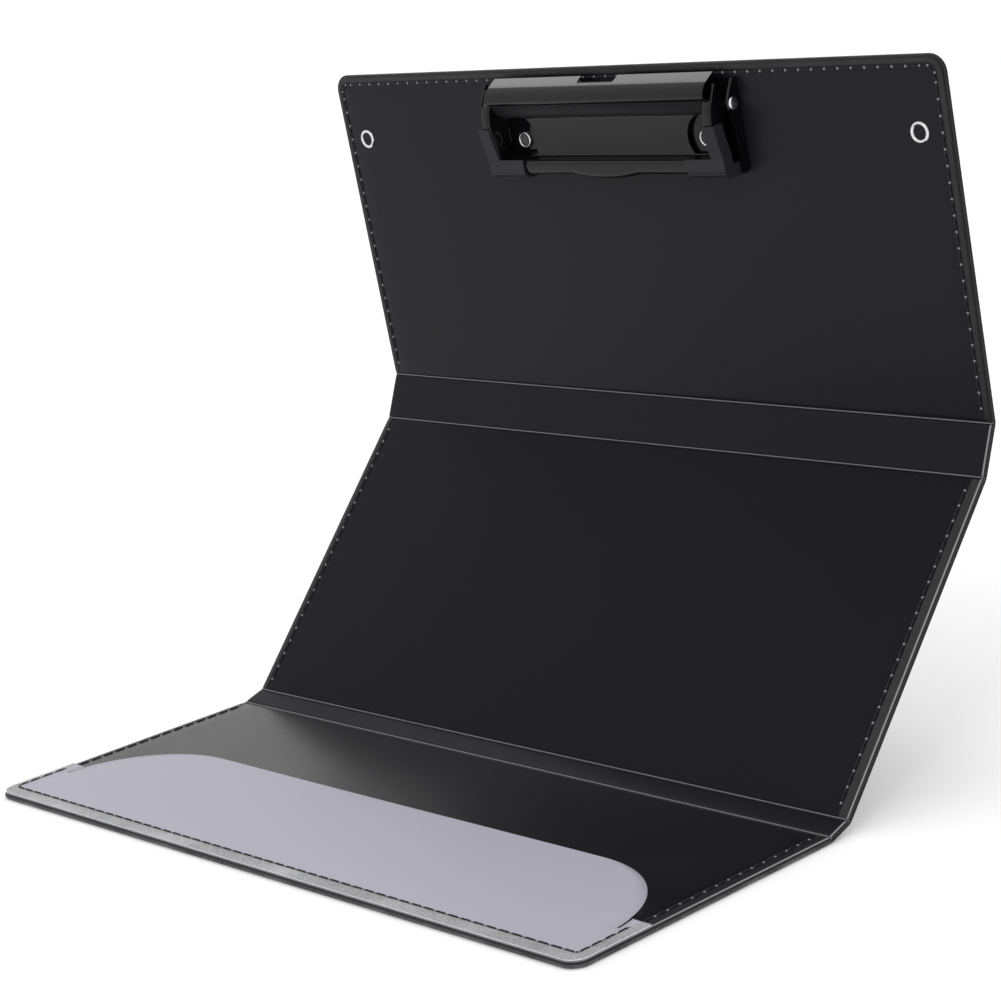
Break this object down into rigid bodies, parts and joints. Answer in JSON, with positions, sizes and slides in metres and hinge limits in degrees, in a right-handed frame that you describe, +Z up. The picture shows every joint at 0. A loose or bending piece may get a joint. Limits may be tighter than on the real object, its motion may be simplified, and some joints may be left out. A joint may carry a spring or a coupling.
{
  "type": "folding clipboard folio",
  "caption": "Folding clipboard folio: stiff leather-covered panels joined by creased spines, with a sprung paper clip on the top panel and a frosted film pocket on the lower one.",
  "frame": {"origin": "on the surface that it stands on, under the middle of the folio as it stands half open", "axes": "+X along the folds, to the right as the user sees it; +Y away from the user; +Z up"},
  "size_m": [0.24, 0.1746, 0.1918],
  "materials": {
    "outer_leather": "fine pebble grain",
    "board": "pressed grey board",
    "lining": "smooth satin",
    "film": "frosted clear film",
    "elastic": "woven flat elastic",
    "bright_steel": "bright nickel",
    "black_steel": "gloss black plate",
    "grip": "matte moulded"
  },
  "bodies": {
    "lower_panel": {"lower_cover": "outer_leather", "lower_board": "board", "lower_lining": "lining", "pocket_film": "film"},
    "lower_spine": {"lower_spine_cover": "outer_leather", "lower_spine_strip": "board", "lower_spine_lining": "lining"},
    "middle_panel": {"middle_cover": "outer_leather", "middle_board": "board", "middle_lining": "lining"},
    "upper_spine": {"upper_spine_cover": "outer_leather", "upper_spine_strip": "board", "upper_spine_lining": "lining"},
    "top_panel": {"top_cover": "outer_leather", "top_board": "board", "top_lining": "lining", "eyelets": "bright_steel", "elastic_band": "elastic", "clip_base": "black_steel", "clip_rivets": "bright_steel", "rivet_caps": "black_steel", "hinge_pin": "bright_steel", "clip_spring": "bright_steel"},
    "clip_lever": {"clip_lever": "black_steel", "left_grip": "grip", "right_grip": "grip"}
  },
  "joints": [
    {"name": "lower_outer_crease", "type": "hinge", "parent": "lower_panel", "child": "lower_spine", "pos_m": [0, 0.00615, 0.002], "axis": [1, 0, 0], "range_deg": [-17.5, 122.5]},
    {"name": "lower_inner_crease", "type": "hinge", "parent": "lower_spine", "child": "middle_panel", "pos_m": [0, 0.01331, 0.00426], "axis": [1, 0, 0], "range_deg": [-30.75, 9.25]},
    {"name": "upper_inner_crease", "type": "hinge", "parent": "middle_panel", "child": "upper_spine", "pos_m": [0, 0.0799, 0.07886], "axis": [1, 0, 0], "range_deg": [-19.65, 70.35]},
    {"name": "upper_outer_crease", "type": "hinge", "parent": "upper_spine", "child": "top_panel", "pos_m": [0, 0.08539, 0.09239], "axis": [1, 0, 0], "range_deg": [-28.25, 59.95]},
    {"name": "clip_hinge", "type": "hinge", "parent": "top_panel", "child": "clip_lever", "pos_m": [0, 0.07304, 0.18037], "axis": [1, 0, 0], "range_deg": [-12, 0], "stiffness_Nm_per_rad": 0.5, "springref_deg": 17.19, "deforming": ["clip_spring"]}
  ]
}
